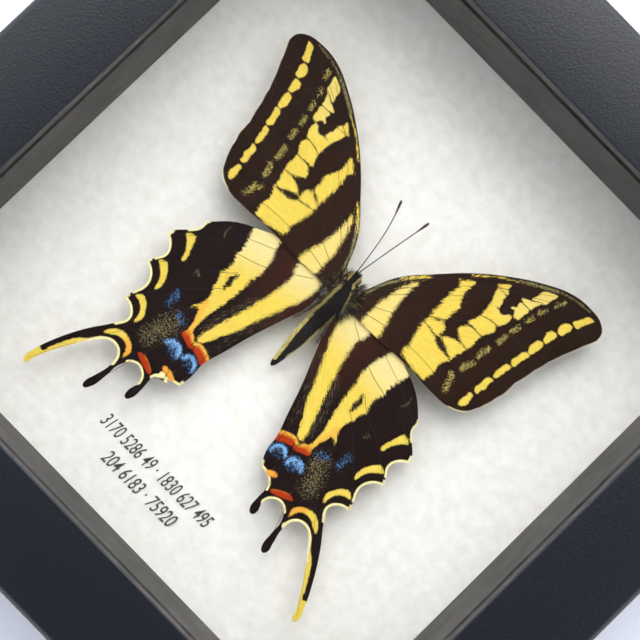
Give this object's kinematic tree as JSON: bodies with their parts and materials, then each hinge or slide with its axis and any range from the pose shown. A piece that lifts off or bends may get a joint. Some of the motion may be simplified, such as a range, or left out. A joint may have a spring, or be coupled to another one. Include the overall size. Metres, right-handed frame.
{
  "type": "framed butterfly specimen",
  "caption": "Dried swallowtail butterfly with spread wings, held over a white paper ground in a deep square black shadow-box frame with a glass front.",
  "frame": {"origin": "centre of the frame's back, which lies on the surface", "axes": "+Z out of the glass, +Y towards the top rail and the insect's head, +X to the right seen from the front"},
  "size_m": [0.163, 0.163, 0.034],
  "materials": {
    "vinyl_wrapped_wood": "black leather-grain vinyl wrap over a wood moulding, satin; stained wood showing on the lip's edge and in the rabbet",
    "picture_glass": "clear float glass",
    "stained_wood": "dark grey stain with fine lengthwise grain, matt",
    "fibrous_paper": "soft white fibrous paper, matt and faintly mottled",
    "foam_board": "white paper-faced foam board",
    "hardboard": "brown pressed hardboard, matt",
    "spring_steel": "thin punched sheet steel",
    "plated_steel": "zinc-plated, satin",
    "pin_steel": "drawn steel wire",
    "insect_body": "black scales and hair with dull yellow stripes, matt",
    "wing_membrane": "powdery scales in yellow and brown-black, with orange-red and blue marks on the hindwings",
    "antenna_cuticle": "black, satin"
  },
  "bodies": {
    "root": {"frame_rail_bottom": "vinyl_wrapped_wood", "frame_rail_right": "vinyl_wrapped_wood", "frame_rail_top": "vinyl_wrapped_wood", "frame_rail_left": "vinyl_wrapped_wood", "glass_pane": "picture_glass", "spacer_bottom": "stained_wood", "spacer_right": "stained_wood", "spacer_top": "stained_wood", "spacer_left": "stained_wood", "backing_paper": "fibrous_paper", "foam_board": "foam_board", "back_panel": "hardboard", "retaining_point_bottom_1": "spring_steel", "retaining_point_bottom_2": "spring_steel", "retaining_point_right_1": "spring_steel", "retaining_point_right_2": "spring_steel", "retaining_point_top_1": "spring_steel", "retaining_point_top_2": "spring_steel", "retaining_point_left_1": "spring_steel", "retaining_point_left_2": "spring_steel", "sawtooth_hanger": "plated_steel", "hanger_nail_left": "plated_steel", "hanger_nail_right": "plated_steel", "head": "insect_body", "thorax": "insect_body", "abdomen": "insect_body", "mounting_pin": "pin_steel", "forewing_left": "wing_membrane", "forewing_right": "wing_membrane", "hindwing_left": "wing_membrane", "hindwing_right": "wing_membrane", "antenna_left": "antenna_cuticle", "antenna_right": "antenna_cuticle"}
  },
  "joints": []
}
